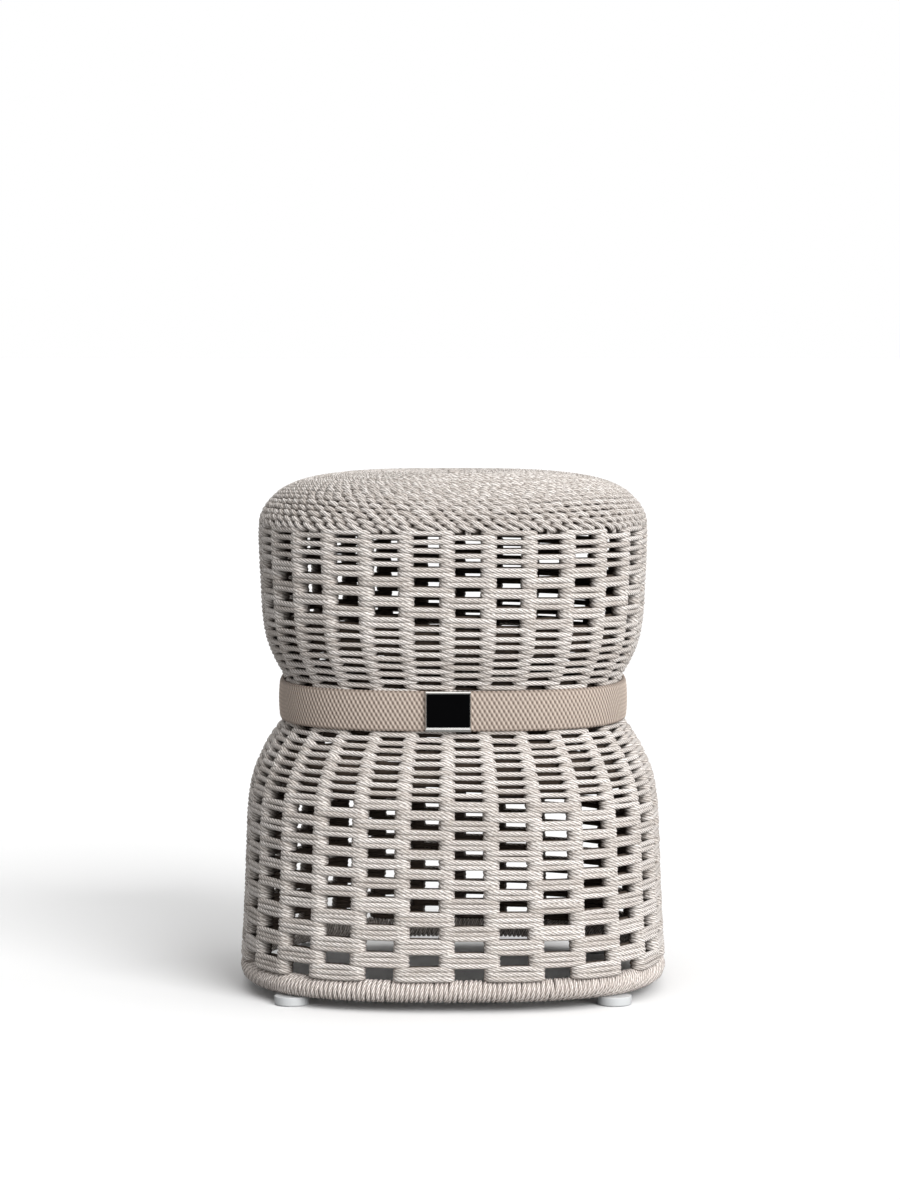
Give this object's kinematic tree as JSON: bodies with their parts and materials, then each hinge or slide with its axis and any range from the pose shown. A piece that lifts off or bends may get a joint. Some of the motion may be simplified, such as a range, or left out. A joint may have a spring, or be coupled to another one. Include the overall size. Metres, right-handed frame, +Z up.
{
  "type": "woven footstool",
  "caption": "Hourglass rope-woven outdoor footstool on a bent-post frame, with a waist strap and clasp, a wrapped base ring and plastic glides.",
  "frame": {"origin": "on the floor under the middle of the stool", "axes": "+Z up, -Y towards the clasp, +X to the right of the clasp as one faces it"},
  "size_m": [0.372, 0.372, 0.447],
  "materials": {
    "rope": "twisted polypropylene rope, light warm grey, matt",
    "wrap_rope": "the same rope wound on the base ring, slightly warmer",
    "webbing": "plaited webbing, warm beige",
    "frame_paint": "powder-coated aluminium rod and tube, warm grey, fine texture",
    "bright_metal": "polished nickel-plated brass",
    "black_enamel": "glossy black enamel",
    "glide_plastic": "milky white polypropylene",
    "screw_steel": "stainless steel"
  },
  "bodies": {
    "root": {"base_ring": "frame_paint", "base_rope_wrap": "wrap_rope", "post_01": "frame_paint", "post_02": "frame_paint", "post_03": "frame_paint", "post_04": "frame_paint", "post_05": "frame_paint", "post_06": "frame_paint", "post_07": "frame_paint", "post_08": "frame_paint", "post_09": "frame_paint", "post_10": "frame_paint", "post_11": "frame_paint", "post_12": "frame_paint", "post_13": "frame_paint", "post_14": "frame_paint", "post_15": "frame_paint", "post_16": "frame_paint", "post_17": "frame_paint", "post_18": "frame_paint", "post_19": "frame_paint", "post_20": "frame_paint", "post_21": "frame_paint", "post_22": "frame_paint", "post_23": "frame_paint", "post_24": "frame_paint", "post_25": "frame_paint", "post_26": "frame_paint", "post_27": "frame_paint", "post_28": "frame_paint", "post_29": "frame_paint", "post_30": "frame_paint", "post_31": "frame_paint", "post_32": "frame_paint", "waist_hoop": "frame_paint", "rim_hoop": "frame_paint", "crown_plate": "frame_paint", "lower_woven_wall": "rope", "upper_woven_wall": "rope", "seat_woven_cover": "rope", "seat_knot": "rope", "waist_strap": "webbing", "clasp_frame": "bright_metal", "clasp_panel": "black_enamel", "clasp_rivet_1": "bright_metal", "clasp_rivet_2": "bright_metal", "foot_1": "glide_plastic", "foot_screw_1": "screw_steel", "foot_2": "glide_plastic", "foot_screw_2": "screw_steel", "foot_3": "glide_plastic", "foot_screw_3": "screw_steel", "foot_4": "glide_plastic", "foot_screw_4": "screw_steel"}
  },
  "joints": []
}
